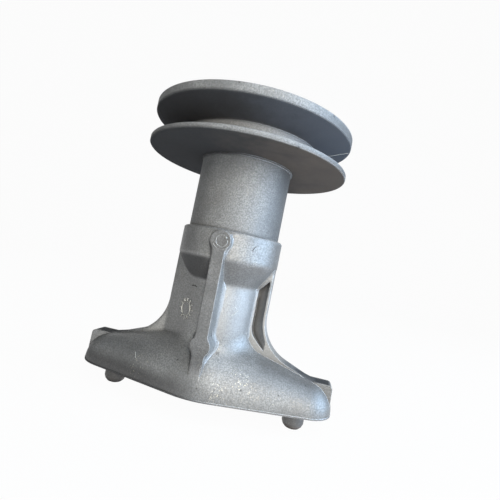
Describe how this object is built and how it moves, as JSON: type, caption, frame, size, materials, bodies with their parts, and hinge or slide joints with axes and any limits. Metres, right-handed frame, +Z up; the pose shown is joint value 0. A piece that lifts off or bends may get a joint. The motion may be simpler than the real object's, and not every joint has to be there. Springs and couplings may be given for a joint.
{
  "type": "mower blade hub",
  "caption": "Cast aluminium hub for a rotary mower: a keyed shaft bore, a V-belt pulley on top, a ribbed shank, and a winged foot with pegs that locate the blade.",
  "frame": {"origin": "where the bore's axis meets the blade seat", "axes": "+Z up the bore towards the pulley, X along the two wings of the foot, -Y the side with the long ejector rib shown in the picture"},
  "size_m": [0.1086, 0.0848, 0.1213],
  "materials": {
    "cast_aluminium": "satin, as cast"
  },
  "bodies": {
    "root": {"blade_hub": "cast_aluminium"}
  },
  "joints": []
}
